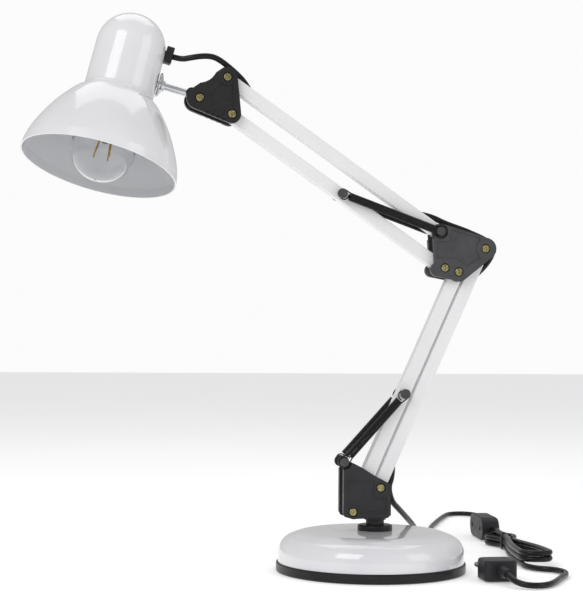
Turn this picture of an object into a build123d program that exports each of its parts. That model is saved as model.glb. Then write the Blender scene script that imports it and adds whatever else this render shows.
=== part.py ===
from build123d import *
import os
from math import atan2, cos, degrees, pi, radians, sin, sqrt, tan

# Swing arm desk lamp. Millimetres, +Z up, arms in the XZ plane, the head towards -X.
# Origin: the centre of the base's underside. "Near" is the -Y side, "far" the +Y side.

os.makedirs("parts", exist_ok=True)

# ------------------------------------------------------------------ driving dimensions
base_radius = 90.0
base_ring_height = 8.6
base_height = 38.5
base_wall = 1.6
spindle_x = 4.0
spindle_radius = 6.0
collar_radius = 16.5
collar_height = 5.0

arm_length = 250.0
bar_width = 12.0
bar_wall = 1.0
link_length = 35.0
lower_angle = 65.9
upper_angle = 145.7
lower_link_angle = 220.35
upper_link_angle = 277.3

plate_inner = 6.8
plate_step = 8.8
plate_outer = 12.5
screw_radius = 2.5
screw_head_radius = 3.6
running = 0.05
open_pivot = 0.3

spring_y = 11.0
spring_radius = 4.0
spring_wire = 1.2
cord_radius = 2.8

stem_angle = 14.6
shade_roll_rest = 11.5
shade_wall = 1.0


def ahead(start, angle, along, side=0.0):
    """A point in the arm plane, measured along a bar and to its left."""
    c = cos(radians(angle))
    s = sin(radians(angle))
    return (start[0] + along * c - side * s, start[1] + along * s + side * c)


def export(part, name):
    part.label = name
    export_step(part, f"parts/{name}.step")


# Pivots, as (x, z) in the arm plane.
pivot_h = (6.7, 79.1)
pivot_i = ahead(pivot_h, lower_link_angle, link_length)
pivot_b = ahead(pivot_h, lower_angle, arm_length)
pivot_d = ahead(pivot_i, lower_angle, arm_length)
pivot_a = (64.0, 323.0)
pivot_c = ahead(pivot_a, upper_link_angle, link_length)
pivot_e = ahead(pivot_a, upper_angle, arm_length)
pivot_f = ahead(pivot_c, upper_angle, arm_length)
pivot_g = (-168.4, 443.6)
anchor_j = (-28.6, 103.6)
anchor_k = ahead(pivot_c, upper_angle, 122.0)
anchor_l = ahead(pivot_i, lower_angle, 122.0)


# ------------------------------------------------------------------ weighted base
with BuildPart() as base_ring:
    with BuildSketch(Plane.XZ):
        with BuildLine():
            Polyline((82, 0), (89.2, 0), (base_radius, 0.9), (base_radius, 7.8), (89.4, base_ring_height),
                     (82, base_ring_height), close=True)
        make_face()
    revolve(axis=Axis.Z)
export(base_ring.part, "base_ring")

cover_radius = 88.4
cover_inside = cover_radius - base_wall
with BuildPart() as base_cover:
    with BuildSketch(Plane.XZ):
        with BuildLine():
            Line((cover_inside, 8.8), (cover_radius, 8.8))
            Line((cover_radius, 8.8), (cover_radius, 18.0))
            ThreePointArc((cover_radius, 18.0), (84.7, 28.0), (76.0, 34.0))
            ThreePointArc((76.0, 34.0), (68.2, 36.5), (60.0, 37.3))
            Line((60.0, 37.3), (0, base_height))
            Line((0, base_height), (0, base_height - base_wall))
            Line((0, base_height - base_wall), (59.8, 35.7))
            ThreePointArc((59.8, 35.7), (67.8, 34.9), (75.4, 32.5))
            ThreePointArc((75.4, 32.5), (83.4, 27.0), (cover_inside, 17.9))
            Line((cover_inside, 17.9), (cover_inside, 8.8))
        make_face()
    revolve(axis=Axis.Z)
    with BuildSketch(Plane.XY.offset(base_height - 8)):
        with Locations((spindle_x, 0)):
            Circle(9.3)
    extrude(amount=16, mode=Mode.SUBTRACT)
export(base_cover.part, "base_cover")

with BuildPart() as base_weight:
    with BuildSketch(Plane.XY.offset(2.2)):
        Circle(81.0)
        with Locations((spindle_x, 0)):
            Circle(11.3, mode=Mode.SUBTRACT)
    extrude(amount=9.8)
    chamfer(base_weight.faces().sort_by(Axis.Z)[-1].outer_wire().edges(), 1.5)
export(base_weight.part, "base_weight")

with BuildPart() as base_pad:
    with BuildSketch():
        Circle(81.5)
    extrude(amount=2.0)
export(base_pad.part, "base_pad")

# The socket: a flange on the cover and a sleeve that stands on the weight.
with BuildPart() as socket_collar:
    with BuildSketch(Plane.XY.offset(base_height + 0.1)):
        with Locations((spindle_x, 0)):
            Circle(collar_radius)
    extrude(amount=collar_height)
    fillet(socket_collar.faces().sort_by(Axis.Z)[-1].edges(), 1.6)
    with BuildSketch(Plane.XY.offset(2.4)):
        with Locations((spindle_x, 0)):
            Circle(11.0)
    extrude(amount=10.0)
    with BuildSketch(Plane.XY.offset(12.4)):
        with Locations((spindle_x, 0)):
            Circle(9.0)
    extrude(amount=base_height - 11.4)
    with BuildSketch(Plane.XY.offset(14.0)):
        with Locations((spindle_x, 0)):
            Circle(spindle_radius + running)
    extrude(amount=40, mode=Mode.SUBTRACT)
export(socket_collar.part, "socket_collar")

neck_bottom = base_height + collar_height + 0.5
with BuildPart() as spindle:
    with BuildSketch(Plane.XY.offset(16.0)):
        with Locations((spindle_x, 0)):
            Circle(spindle_radius)
    extrude(amount=44.0)
    chamfer(spindle.faces().sort_by(Axis.Z)[0].edges(), 0.8)
export(spindle.part, "spindle")


# ------------------------------------------------------------------ moulded brackets
def disc(plane, centre, radius):
    """A round face in the arm plane's sketch frame."""
    with BuildSketch(plane) as face:
        with Locations(centre):
            Circle(radius)
    return face.sketch


def base_outline(plane):
    with BuildSketch(plane) as face:
        with BuildLine():
            Polyline((-29.2, 55.5), (-29.2, 98.0), (-26.0, 105.6), (-12.6, 98.9), (0.4, 90.9), (16.6, 82.2),
                     (16.6, 53.4), (13.5, 50.6), (-14.0, 50.2), (-20.0, 49.8), (-27.5, 52.0), close=True)
        make_face()
        with Locations(anchor_j):
            Circle(5.4)
    return face.sketch


def elbow_outline(plane):
    with BuildSketch(plane) as body:
        with Locations(pivot_a):
            Circle(7.6)
        with Locations(pivot_b):
            Circle(10.5)
        with Locations(pivot_d):
            Circle(9.4)
        with Locations((60.5, 292.0)):
            Circle(2.0)
        make_hull()
    with BuildSketch(plane) as lobe:
        with Locations((60.8, 286.4)):
            Circle(6.4)
        with Locations(pivot_c):
            Circle(9.2)
        with Locations(pivot_d):
            Circle(8.4)
        make_hull()
    return body.sketch + lobe.sketch


def head_outline(plane):
    with BuildSketch(plane) as body:
        with Locations(pivot_e):
            Circle(9.4)
        with Locations(pivot_f):
            Circle(8.6)
        with Locations((-170.6, 443.2)):
            Circle(10.2)
        make_hull()
    with BuildSketch(plane) as waist:
        with Locations((-170.0, 476.0)):
            Circle(18.6)
    return body.sketch - waist.sketch


near_faces = ((1, "near"), (-1, "far"))


def layer(outline, inner, outer, side):
    """A solid between two distances from the arm plane, on the near side (1) or the far side (-1)."""
    low = inner if side > 0 else -outer
    return extrude(outline(Plane.XZ.offset(low)), amount=outer - inner)


def screw_seats(pivots, side):
    """Bores for the screws, with a round seat on the near side and a hexagon seat on the far side."""
    tools = []
    for pivot in pivots:
        tools.append(layer(lambda plane: disc(plane, pivot, screw_radius + running), 0, 20, side))
        if side > 0:
            tools.append(layer(lambda plane: disc(plane, pivot, 4.5), 10.6, 20, side))
        else:
            with BuildSketch(Plane.XZ.offset(-20.0)) as pocket:
                with Locations(pivot):
                    RegularPolygon(4.7, 6)
            tools.append(extrude(pocket.sketch, amount=9.4))
    return tools


def panel(points, rings):
    """A sunk panel: a polygon with a round island left about each pivot."""
    def make(plane):
        with BuildSketch(plane) as face:
            with BuildLine():
                Polyline(*points, close=True)
            make_face()
            for centre, radius in rings:
                with Locations(centre):
                    Circle(radius, mode=Mode.SUBTRACT)
        return face.sketch
    return make


base_panel = panel([(-25.2, 61.0), (-25.2, 86.8), (0.6, 86.8), (0.6, 70.4), (12.2, 70.4), (12.2, 55.0), (-20.0, 55.0)],
                   [(pivot_i, 6.2)])
base_groove = panel([(-23.4, 63.5), (-23.4, 84.6), (-1.4, 84.6), (-1.4, 68.4), (10.2, 68.4), (10.2, 57.0),
                     (-18.0, 57.0)],
                    [(pivot_i, 8.0)])
elbow_panel = panel([(60.2, 297.6), (60.2, 313.4), (72.4, 313.4), (75.2, 325.2), (103.0, 317.4), (103.0, 298.0),
                     (90.0, 289.6), (80.0, 297.0)],
                    [(pivot_a, 9.6), (pivot_b, 9.2), (pivot_d, 7.6), (pivot_c, 9.4)])
head_panel = panel([(-146.6, 459.0), (-154.6, 452.0), (-158.0, 444.0), (-156.8, 432.4), (-146.0, 427.4),
                    (-136.4, 434.6), (-138.0, 458.0)],
                   [(pivot_e, 8.0), (pivot_f, 7.2)])

for side, word in near_faces:
    with BuildPart() as base_bracket:
        add(layer(base_outline, plate_inner, plate_outer, side))
        # The solid foot between the two plates, below the rear bar's pivot.
        with BuildSketch(Plane.XZ.offset(-plate_inner)):
            with BuildLine():
                Polyline((-10.5, 50.4), (-3.2, 67.5), (15.0, 67.5), (15.0, 52.0), (13.5, 50.4), close=True)
            make_face()
        extrude(amount=2 * plate_inner)
        # The round neck that turns on the collar.
        with BuildSketch(Plane.XY.offset(neck_bottom)):
            with Locations((spindle_x, 0)):
                Circle(8.6)
        extrude(amount=62.0 - neck_bottom)
        with BuildSketch(Plane.XY.offset(48.4)):
            with Locations((spindle_x, 0)):
                Circle(10.4)
        extrude(amount=6.0)
        with BuildSketch(Plane.XY.offset(40.0)):
            with Locations((spindle_x, 0)):
                Circle(spindle_radius + 0.02)
        extrude(amount=20.02, mode=Mode.SUBTRACT)
        add(layer(base_panel, plate_outer - 0.7, 20, side), mode=Mode.SUBTRACT)
        add(layer(base_groove, plate_outer - 1.1, 20, side), mode=Mode.SUBTRACT)
        add(layer(lambda plane: disc(plane, anchor_j, 7.0), plate_step, 20, side), mode=Mode.SUBTRACT)
        add(layer(lambda plane: disc(plane, anchor_j, 2.02), 0, 20, side), mode=Mode.SUBTRACT)
        for tool in screw_seats((pivot_h, pivot_i), side):
            add(tool, mode=Mode.SUBTRACT)
        split(bisect_by=Plane.XZ, keep=Keep.TOP if side > 0 else Keep.BOTTOM)
    export(base_bracket.part, f"base_bracket_{word}")

    with BuildPart() as elbow:
        add(layer(elbow_outline, plate_inner, plate_outer, side))
        # The boss that keeps the two plates apart.
        add(layer(lambda plane: disc(plane, (86.0, 305.5), 6.5), 0, plate_inner, side))
        add(layer(lambda plane: disc(plane, pivot_a, 7.2), plate_step, 20, side), mode=Mode.SUBTRACT)
        with BuildSketch(Plane.XZ.offset(plate_step if side > 0 else -20.0)):
            with Locations((56.0, 331.0), (50.0, 323.2)):
                Rectangle(16.0, 14.4)
        extrude(amount=20.0 - plate_step, mode=Mode.SUBTRACT)
        add(layer(elbow_panel, plate_outer - 0.9, 20, side), mode=Mode.SUBTRACT)
        add(layer(lambda plane: disc(plane, pivot_a, screw_radius + running), 0, 20, side), mode=Mode.SUBTRACT)
        for tool in screw_seats((pivot_b, pivot_c, pivot_d), side):
            add(tool, mode=Mode.SUBTRACT)
    export(elbow.part, f"elbow_{word}")

    with BuildPart() as head_bracket:
        add(layer(head_outline, plate_inner, plate_outer, side))
        add(layer(lambda plane: disc(plane, (-150.4, 445.4), 4.2), 0, plate_inner, side))
        add(layer(head_panel, plate_outer - 0.9, 20, side), mode=Mode.SUBTRACT)
        # The ribbed lower edge.
        for along in (6.0, 11.5, 17.0, 22.5):
            notch = (pivot_f[0] - 2.6 - along * 0.93, pivot_f[1] - 7.4 + along * 0.355)
            with BuildSketch(Plane.XZ.offset(plate_outer - 1.4 if side > 0 else -20.0)):
                with Locations(Location((notch[0], notch[1], 0), (0, 0, -21))):
                    Rectangle(3.4, 2.6)
            extrude(amount=20.0 - plate_outer + 1.4, mode=Mode.SUBTRACT)
        for tool in screw_seats((pivot_e, pivot_f), side):
            add(tool, mode=Mode.SUBTRACT)
        add(layer(lambda plane: disc(plane, pivot_g, screw_radius + running), 0, 20, side), mode=Mode.SUBTRACT)
        if side > 0:
            add(layer(lambda plane: disc(plane, pivot_g, 4.5), 10.6, 20, side), mode=Mode.SUBTRACT)
    export(head_bracket.part, f"head_bracket_{word}")


# ------------------------------------------------------------------ screws, nuts and spring pins
def screw(pivot):
    """A cross-head machine screw lying along Y, its head on the near side."""
    with BuildPart() as piece:
        with BuildSketch(Plane.XZ.offset(-11.9)):
            with Locations(pivot):
                Circle(screw_radius)
        extrude(amount=11.9 + 10.8)
        with BuildSketch(Plane.XZ.offset(10.65)):
            with Locations(pivot):
                Circle(screw_head_radius)
        extrude(amount=1.9)
        fillet(piece.faces().sort_by(Axis.Y)[0].edges(), 0.6)
        with BuildSketch(Plane.XZ.offset(11.7)):
            with Locations(pivot):
                Rectangle(4.4, 0.9)
                Rectangle(0.9, 4.4)
        extrude(amount=3, mode=Mode.SUBTRACT)
    return piece.part


def nut(pivot):
    with BuildPart() as piece:
        with BuildSketch(Plane.XZ.offset(-12.4)):
            with Locations(pivot):
                RegularPolygon(4.4, 6)
                Circle(screw_radius + 0.02, mode=Mode.SUBTRACT)
        extrude(amount=1.7)
    return piece.part


def spring_pin(pivot, shaft_radius, knob_radius, knob_from, knob_to):
    """A pin across the arm with a round knob at each end."""
    with BuildPart() as piece:
        with BuildSketch(Plane.XZ.offset(-knob_to + 0.5)):
            with Locations(pivot):
                Circle(shaft_radius)
        extrude(amount=2 * knob_to - 1.0)
        for plane in (Plane.XZ.offset(knob_from), Plane.XZ.offset(-knob_to)):
            with BuildSketch(plane):
                with Locations(pivot):
                    Circle(knob_radius)
            extrude(amount=knob_to - knob_from)
        ends = piece.faces().filter_by(Axis.Y).sort_by(Axis.Y)
        fillet(ends[0].edges() + ends[-1].edges(), 0.9)
    return piece.part


def stub_pin(pivot, shaft_radius, knob_radius, knob_from, knob_to, side):
    """A short pin pressed into one plate, clear of the bar that passes between the plates."""
    with BuildPart() as piece:
        add(layer(lambda plane: disc(plane, pivot, shaft_radius), plate_inner + 0.1, knob_to - 0.5, side))
        add(layer(lambda plane: disc(plane, pivot, knob_radius), knob_from, knob_to, side))
        outer = piece.faces().filter_by(Axis.Y).sort_by(Axis.Y)[0 if side > 0 else -1]
        fillet(outer.edges(), 0.9)
    return piece.part


screw_groups = {"base": (pivot_h, pivot_i), "elbow": (pivot_b, pivot_c, pivot_d), "head": (pivot_e, pivot_f)}
for group, pivots in screw_groups.items():
    export(Compound(children=[screw(pivot) for pivot in pivots]), f"{group}_screws")
    export(Compound(children=[nut(pivot) for pivot in pivots]), f"{group}_nuts")

stubs = [stub_pin(anchor_j, 2.0, 4.1, 12.4, 15.4, side) for side in (1, -1)]
export(Compound(children=stubs), "base_spring_pins")
export(spring_pin(pivot_a, screw_radius, 4.1, 12.4, 15.0), "elbow_spring_pin")
export(spring_pin(anchor_l, 2.0, 4.8, 12.4, 15.8), "lower_spring_pin")
export(spring_pin(anchor_k, 2.0, 4.8, 12.4, 15.8), "upper_spring_pin")


# ------------------------------------------------------------------ square tube bars
def bar(start, angle, bores, slots):
    """A square tube with rounded cheeks. bores: (along, radius). slots: (from, to) in its rear or top wall."""
    direction = (cos(radians(angle)), 0, sin(radians(angle)))
    frame = Plane(origin=(start[0], 0, start[1]), x_dir=direction, z_dir=(0, -1, 0))
    half = bar_width / 2
    with BuildPart() as piece:
        with BuildSketch(frame.offset(-half)):
            with Locations((arm_length / 2, 0)):
                SlotCenterToCenter(arm_length, bar_width)
        extrude(amount=bar_width)
        corner = piece.edges().filter_by(Axis(origin=(0, 0, 0), direction=direction))
        fillet(corner, 0.8)
        with BuildSketch(frame.offset(-half + bar_wall)):
            with Locations((arm_length / 2, 0)):
                Rectangle(arm_length + 40, bar_width - 2 * bar_wall)
        extrude(amount=bar_width - 2 * bar_wall, mode=Mode.SUBTRACT)
        for along, radius in bores:
            with BuildSketch(frame.offset(-10)):
                with Locations((along, 0)):
                    Circle(radius)
            extrude(amount=20, mode=Mode.SUBTRACT)
        for slot_from, slot_to in slots:
            with BuildSketch(frame.offset(-3.2)):
                with Locations(((slot_from + slot_to) / 2, -half)):
                    Rectangle(slot_to - slot_from, 3.0)
            extrude(amount=6.4, mode=Mode.SUBTRACT)
    return piece.part


tight = screw_radius + running
loose = screw_radius + open_pivot
export(bar(pivot_h, lower_angle, ((0, tight), (arm_length, tight)), ((9, 34), (213, 241))), "lower_bar_rear")
export(bar(pivot_i, lower_angle, ((0, tight), (122, 2.02), (arm_length, loose)), ()), "lower_bar_front")
export(bar(pivot_a, upper_angle, ((0, tight), (arm_length, tight)), ((9, 36), (213, 241))), "upper_bar_top")
export(bar(pivot_c, upper_angle, ((0, tight), (122, 2.02), (arm_length, loose)), ()), "upper_bar_bottom")


# ------------------------------------------------------------------ tension springs
def spring(start, end, y, start_pin, end_pin):
    """The outer shape of one close-wound tension spring: a hollow coil, two hook rings, two straight tails."""
    length = sqrt((end[0] - start[0]) ** 2 + (end[1] - start[1]) ** 2)
    direction = ((end[0] - start[0]) / length, 0, (end[1] - start[1]) / length)
    frame = Plane(origin=(start[0], y, start[1]), x_dir=(0, 1, 0), z_dir=direction)
    hook = 0.6
    tail_from = start_pin + 2 * hook
    tail_to = length - end_pin - 2 * hook
    body_from = 8.5
    body_to = length - 8.0
    with BuildPart() as piece:
        with BuildSketch(frame.offset(body_from)):
            Circle(spring_radius)
            Circle(spring_radius - spring_wire, mode=Mode.SUBTRACT)
        extrude(amount=body_to - body_from)
        for at, inward in ((body_from, 1), (body_to, -1)):
            with BuildSketch(frame.offset(at if inward > 0 else at - spring_wire)):
                Circle(spring_radius - 0.2)
            extrude(amount=spring_wire)
        with BuildSketch(frame.offset(tail_from - 0.4)):
            Circle(hook)
        extrude(amount=body_from - tail_from + 0.8)
        with BuildSketch(frame.offset(body_to - 0.4)):
            Circle(hook)
        extrude(amount=tail_to - body_to + 0.8)
        for centre, pin in ((start, start_pin), (end, end_pin)):
            with Locations(Location((centre[0], y, centre[1]), (90, 0, 0))):
                Torus(pin + 0.15 + hook, hook)
    return piece.part


for arm, start, end, start_pin, end_pin in (("lower", anchor_l, anchor_j, 2.0, 2.0),
                                            ("upper", anchor_k, pivot_a, 2.0, screw_radius)):
    pair = [spring(start, end, y, start_pin, end_pin) for y in (-spring_y, spring_y)]
    export(Compound(children=pair), f"{arm}_springs")


# ------------------------------------------------------------------ head clamp, stem and shade
with BuildPart() as clamp_bolt:
    with BuildSketch(Plane.XZ.offset(-24.0)):
        with Locations(pivot_g):
            Circle(screw_radius)
    extrude(amount=24.0 + 10.8)
    with BuildSketch(Plane.XZ.offset(10.65)):
        with Locations(pivot_g):
            Circle(screw_head_radius)
    extrude(amount=1.9)
    fillet(clamp_bolt.faces().sort_by(Axis.Y)[0].edges(), 0.6)
    with BuildSketch(Plane.XZ.offset(11.7)):
        with Locations(pivot_g):
            Rectangle(4.4, 0.9)
            Rectangle(0.9, 4.4)
    extrude(amount=3, mode=Mode.SUBTRACT)
export(clamp_bolt.part, "head_clamp_bolt")

tab_lean = radians(84)
tab_plane = Plane(origin=(pivot_g[0], 0, pivot_g[1]), x_dir=(0, 1, 0), z_dir=(sin(tab_lean), 0, -cos(tab_lean)))
with BuildPart() as wing_nut:
    with BuildSketch(Plane.XZ.offset(-22.0)):
        with Locations(pivot_g):
            Circle(5.6)
    extrude(amount=9.2)
    # One flat tab to turn it by, standing up and a little forward.
    with BuildSketch(tab_plane.offset(-1.2)):
        with BuildLine():
            Polyline((13.4, 3.0), (22.0, 3.0), (24.6, 12.5), (22.5, 16.0), (17.6, 14.6), close=True)
        make_face()
    extrude(amount=2.4)
    with BuildSketch(Plane.XZ.offset(-30.0)):
        with Locations(pivot_g):
            Circle(screw_radius + running)
    extrude(amount=30, mode=Mode.SUBTRACT)
export(wing_nut.part, "head_wing_nut")

rod_axis = (cos(radians(stem_angle)), 0, -sin(radians(stem_angle)))
rod_point = (-190.0, 451.8)
rod_radius = 3.4
# The shade's own frame: +z up its axis, +x out along the rod, origin where the two axes cross.
wall_reach = 33.0
to_axis = 17.5 + wall_reach
shade_centre = (rod_point[0] - to_axis * rod_axis[0], 0, rod_point[1] - to_axis * rod_axis[2])
roll = radians(shade_roll_rest)
shade_up = (-rod_axis[2] * cos(roll), sin(roll), rod_axis[0] * cos(roll))
shade_frame = Plane(origin=shade_centre, x_dir=rod_axis, z_dir=shade_up)
rod_frame = Plane(origin=shade_centre, x_dir=(0, 1, 0), z_dir=rod_axis)
rod_end = to_axis + 15.0

with BuildPart() as stem_block:
    with BuildSketch(Plane.XZ.offset(-6.3)):
        with Locations(pivot_g):
            Circle(7.6)
        with Locations((-175.4, 448.5)):
            Circle(5.4)
        make_hull()
    extrude(amount=12.6)
    fillet(stem_block.edges().filter_by(GeomType.CIRCLE), 0.8)
    with BuildSketch(Plane.XZ.offset(-10)):
        with Locations(pivot_g):
            Circle(screw_radius + running)
    extrude(amount=20, mode=Mode.SUBTRACT)
    with BuildSketch(rod_frame.offset(to_axis)):
        Circle(rod_radius + 0.02)
    extrude(amount=rod_end - to_axis + 0.02, mode=Mode.SUBTRACT)
export(stem_block.part, "stem_block")

with BuildPart() as stem_rod:
    with BuildSketch(rod_frame.offset(wall_reach - 12.0)):
        Circle(rod_radius)
    extrude(amount=rod_end - wall_reach + 12.0)
export(stem_rod.part, "stem_rod")

# Dished chrome washer and its lock nut outside the wall, a hexagon nut inside it.
with BuildPart() as stem_washer:
    with BuildSketch(Plane(origin=shade_centre, x_dir=rod_axis, z_dir=(0, -1, 0))):
        with BuildLine():
            Polyline((wall_reach + 0.35, rod_radius + 0.02), (wall_reach + 0.35, 10.4), (wall_reach + 1.0, 11.4),
                     (wall_reach + 2.0, 11.4), (wall_reach + 3.6, 8.6), (wall_reach + 4.4, 5.4),
                     (wall_reach + 6.6, 5.2), (wall_reach + 6.6, rod_radius + 0.02), close=True)
        make_face()
    revolve(axis=Axis(origin=shade_centre, direction=rod_axis))
export(stem_washer.part, "stem_washer")

with BuildPart() as stem_nut:
    with BuildSketch(rod_frame.offset(wall_reach - 9.6)):
        RegularPolygon(6.6, 6)
        Circle(rod_radius + 0.02, mode=Mode.SUBTRACT)
    extrude(amount=5.0)
export(stem_nut.part, "stem_nut")

# Bell-shaped shade: a cap, a neck and a flared skirt. Heights are from the rod's axis.
rim_z = -94.2
cap_top = 60.0
neck_radius = 32.6
cap_inside = neck_radius - shade_wall
rim_radius = 73.2
grommet_z = 31.0
shade_side = Plane(origin=shade_centre, x_dir=rod_axis,
                   z_dir=(-shade_frame.y_dir.X, -shade_frame.y_dir.Y, -shade_frame.y_dir.Z))
shade_axis = Axis(origin=shade_centre, direction=shade_up)
with BuildPart() as shade:
    with BuildSketch(shade_side):
        with BuildLine():
            RadiusArc((0, cap_top), (neck_radius, cap_top - neck_radius), neck_radius)
            Line((neck_radius, cap_top - neck_radius), (neck_radius, rim_z + 75.0))
            Spline((neck_radius, rim_z + 75.0), (36.2, rim_z + 70.4), (45.6, rim_z + 60.6), (57.0, rim_z + 44.0),
                   (66.2, rim_z + 26.0), (rim_radius - 1.2, rim_z + 8.5), tangents=((0.12, -1), (0.22, -1)))
            Line((rim_radius - 1.2, rim_z + 8.5), (rim_radius, rim_z))
            Line((rim_radius, rim_z), (rim_radius - 1.5, rim_z))
            Line((rim_radius - 1.5, rim_z), (rim_radius - 2.4, rim_z + 8.4))
            Spline((rim_radius - 2.4, rim_z + 8.4), (65.1, rim_z + 25.6), (56.0, rim_z + 43.2), (44.7, rim_z + 59.8),
                   (35.3, rim_z + 69.6), (cap_inside, rim_z + 74.4), tangents=((-0.22, 1), (-0.12, 1)))
            Line((cap_inside, rim_z + 74.4), (cap_inside, cap_top - neck_radius))
            RadiusArc((cap_inside, cap_top - neck_radius), (0, cap_top - shade_wall), -cap_inside)
            Line((0, cap_top - shade_wall), (0, cap_top))
        make_face()
    revolve(axis=shade_axis)
    with BuildSketch(rod_frame.offset(wall_reach - 8.0)):
        Circle(rod_radius + running)
    extrude(amount=16.0, mode=Mode.SUBTRACT)
    hole_frame = Plane(origin=shade_frame.from_local_coords(Vector(neck_radius - 6.0, 0, grommet_z)),
                       x_dir=(0, 1, 0), z_dir=rod_axis)
    with BuildSketch(hole_frame):
        Circle(4.0)
    extrude(amount=12.0, mode=Mode.SUBTRACT)
export(shade.part, "shade")

with BuildPart() as grommet:
    with BuildSketch(Plane(origin=shade_frame.from_local_coords(Vector(neck_radius + 0.3, 0, grommet_z)),
                           x_dir=(0, 1, 0), z_dir=rod_axis)):
        RectangleRounded(12.0, 16.0, 2.0)
    extrude(amount=7.0)
    fillet(grommet.faces().sort_by(Axis(origin=shade_centre, direction=rod_axis))[-1].edges(), 0.9)
    with BuildSketch(hole_frame):
        Circle(3.9)
    extrude(amount=8.0)
export(grommet.part, "cord_grommet")

# Lamp holder on a plate across the cap, and the lamp: a clear 60 mm bulb with a screw cap.
bulb_centre = -77.0
bulb_radius = 30.0
with BuildPart() as holder_plate:
    with BuildSketch(shade_frame.offset(16.2)):
        Circle(neck_radius - shade_wall - 0.2)
        with PolarLocations(25.0, 6):
            SlotOverall(10.0, 3.6, rotation=90, mode=Mode.SUBTRACT)
    extrude(amount=1.6)
export(holder_plate.part, "holder_plate")

with BuildPart() as lamp_holder:
    with BuildSketch(shade_frame.offset(-26.0)):
        Circle(17.6)
    extrude(amount=42.0)
    fillet(lamp_holder.faces().sort_by(shade_axis)[-1].edges(), 2.0)
    with BuildSketch(shade_frame.offset(-26.0)):
        Circle(14.2)
    extrude(amount=29.0, mode=Mode.SUBTRACT)
export(lamp_holder.part, "lamp_holder")

with BuildPart() as bulb_cap:
    with BuildSketch(shade_side):
        with BuildLine():
            Polyline((0, 1.8), (4.6, 1.8), (4.8, -0.4), (11.6, -2.2), (13.1, -4.4), (13.1, -23.0), (13.6, -26.6),
                     (12.2, -26.6), (12.0, -4.8), (0, -4.8), close=True)
        make_face()
    revolve(axis=shade_axis)
export(bulb_cap.part, "bulb_cap")

with BuildPart() as bulb_glass:
    with BuildSketch(shade_side):
        with BuildLine():
            Spline((11.6, -9.0), (12.2, -30.0), (17.4, bulb_centre + 30.0), (27.0, bulb_centre + 13.0),
                   (bulb_radius, bulb_centre), tangents=((0, -1), (0, -1)))
            RadiusArc((bulb_radius, bulb_centre), (0, bulb_centre - bulb_radius), bulb_radius)
            Line((0, bulb_centre - bulb_radius), (0, bulb_centre - bulb_radius + 0.9))
            RadiusArc((0, bulb_centre - bulb_radius + 0.9), (bulb_radius - 0.9, bulb_centre), -(bulb_radius - 0.9))
            Spline((bulb_radius - 0.9, bulb_centre), (26.2, bulb_centre + 12.7), (16.6, bulb_centre + 29.6),
                   (11.3, -30.4), (10.7, -9.0), tangents=((0, 1), (0, 1)))
            Line((10.7, -9.0), (11.6, -9.0))
        make_face()
    revolve(axis=shade_axis)
export(bulb_glass.part, "bulb_glass")

# The lamp's glass mount and its four straight filament strips.
with BuildPart() as bulb_mount:
    with BuildSketch(shade_side):
        with BuildLine():
            Polyline((0, -9.0), (9.6, -9.0), (9.2, -26.0), (3.4, -40.0), (2.6, -70.0), (0, -71.0), close=True)
        make_face()
    revolve(axis=shade_axis)
export(bulb_mount.part, "bulb_mount")

strips = []
for turn in (45, 135, 225, 315):
    low = shade_frame.from_local_coords(Vector(9.5 * cos(radians(turn)), 9.5 * sin(radians(turn)), bulb_centre - 7.0))
    high = shade_frame.from_local_coords(Vector(5.0 * cos(radians(turn)), 5.0 * sin(radians(turn)), bulb_centre + 26.0))
    with BuildPart() as strip:
        with BuildSketch(Plane(origin=low, z_dir=high - low)):
            Circle(0.8)
        extrude(amount=(high - low).length)
    strips.append(strip.part)
export(Compound(children=strips), "bulb_filaments")


# ------------------------------------------------------------------ cords
def cord(points, name, radius=cord_radius):
    """A round cord along straight runs and tangent arcs, each arc as large as its two runs allow."""
    route = [Vector(*point) for point in points]
    radii = []
    for before, corner, after in zip(route, route[1:], route[2:]):
        half_turn = radians((corner - before).get_angle(after - corner)) / 2
        shorter = min((corner - before).length, (after - corner).length)
        radii.append(0.45 * shorter / tan(half_turn))
    with BuildPart() as piece:
        with BuildLine() as path:
            if radii:
                FilletPolyline(*route, radius=radii)
            else:
                Line(route[0], route[1])
        with BuildSketch(Plane(origin=path.line @ 0, z_dir=path.line % 0)):
            Circle(radius)
        sweep()
    length = path.wires()[0].length
    ratio = piece.part.volume / (pi * radius ** 2 * length)
    print(name, "length", round(length, 1), "volume ratio", round(ratio, 4), "radii", [round(r) for r in radii])
    export(piece.part, name)
    return length


def flat(point):
    return (point[0], 0, point[1])


def halfway(first, second, share=0.5):
    return tuple(a + (b - a) * share for a, b in zip(first, second))


# Head cord: shade grommet, over the gap, round the top pivot, into the top bar.
grommet_mouth = tuple(shade_frame.from_local_coords(Vector(neck_radius + 7.5, 0, grommet_z)))
grommet_lead = tuple(shade_frame.from_local_coords(Vector(neck_radius + 16.0, 0, grommet_z)))
head_points = [grommet_mouth, grommet_lead, (-176.0, 0.8, 482.8), (-165.0, 0.4, 484.8), (-154.6, 0, 484.6),
               (-145.4, 0, 479.6), flat(ahead(pivot_e, upper_angle, -6.5, -9.9)),
               flat(ahead(pivot_e, upper_angle, -17.0, -7.6)), flat(ahead(pivot_e, upper_angle, -30.0, -1.4)),
               flat(ahead(pivot_e, upper_angle, -42.0, 0.6))]
head_cut_front = halfway(head_points[2], head_points[3])
head_cut_rear = halfway(head_points[5], head_points[6])
cord(head_points[:3] + [head_cut_front], "head_cord_front")
cord([head_cut_front] + head_points[3:6] + [head_cut_rear], "head_cord_rear")
cord([head_cut_rear] + head_points[6:], "head_cord_end")

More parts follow.
